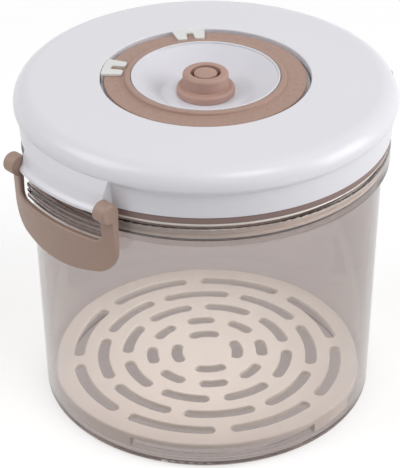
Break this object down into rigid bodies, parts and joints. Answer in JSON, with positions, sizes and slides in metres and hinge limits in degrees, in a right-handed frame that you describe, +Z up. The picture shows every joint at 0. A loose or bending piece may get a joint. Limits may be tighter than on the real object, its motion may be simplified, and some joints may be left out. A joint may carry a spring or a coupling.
{
  "type": "vacuum seal canister",
  "caption": "Round clear food canister with a slotted drain tray and a vacuum lid that has a date dial with sliding pointers, a pump well with a release valve, and swinging clips.",
  "frame": {"origin": "on the table under the middle of the container", "axes": "+Z up along the container's axis, +X through the middle of one clip, +Y to the side between the clips"},
  "size_m": [0.1542, 0.145, 0.137],
  "materials": {
    "clear_plastic": "clear, faintly smoked, polished",
    "white_plastic": "smooth gloss",
    "liner_plastic": "satin",
    "dial_plastic": "satin",
    "clip_plastic": "satin",
    "pointer_plastic": "smooth gloss",
    "tray_plastic": "fine matte",
    "valve_silicone": "soft matte",
    "seal_silicone": "soft translucent",
    "spring_steel": "bright wire"
  },
  "bodies": {
    "container": {"container_body": "clear_plastic"},
    "tray": {"drain_tray": "tray_plastic"},
    "lid": {"lid_cover": "white_plastic", "lid_liner": "liner_plastic", "lid_gasket": "seal_silicone", "vacuum_well": "white_plastic", "well_o_ring": "seal_silicone", "date_ring": "dial_plastic", "valve_boot": "valve_silicone", "valve_spring": "spring_steel"},
    "month_pointer": {"month_pointer": "pointer_plastic"},
    "day_pointer": {"day_pointer": "pointer_plastic"},
    "valve_button": {"valve_button": "valve_silicone", "valve_seal": "seal_silicone", "valve_retainer": "white_plastic"},
    "clip_right": {"clip_right": "clip_plastic"},
    "clip_left": {"clip_left": "clip_plastic"}
  },
  "joints": [
    {"name": "lid_lift", "type": "slide", "parent": "container", "child": "lid", "axis": [0, 0, 1], "range_m": [0, 0.06]},
    {"name": "tray_lift", "type": "slide", "parent": "container", "child": "tray", "axis": [0, 0, 1], "range_m": [0, 0.085]},
    {"name": "clip_right_swing", "type": "hinge", "parent": "lid", "child": "clip_right", "pos_m": [0.0713, 0, 0.117], "axis": [0, -1, 0], "range_deg": [-5.5, 90]},
    {"name": "clip_left_swing", "type": "hinge", "parent": "lid", "child": "clip_left", "pos_m": [-0.0713, 0, 0.117], "axis": [0, 1, 0], "range_deg": [-5.5, 90]},
    {"name": "month_pointer_turn", "type": "hinge", "parent": "lid", "child": "month_pointer", "pos_m": [0, 0, 0.1345], "axis": [0, 0, 1], "range_deg": [-42.6, 35.5]},
    {"name": "day_pointer_turn", "type": "hinge", "parent": "lid", "child": "day_pointer", "pos_m": [0, 0, 0.1345], "axis": [0, 0, 1], "range_deg": [-234, 0]},
    {"name": "valve_button_press", "type": "slide", "parent": "lid", "child": "valve_button", "axis": [0, 0, -1], "range_m": [0, 0.0015], "stiffness_N_per_m": 800, "deforming": ["valve_spring"]}
  ]
}
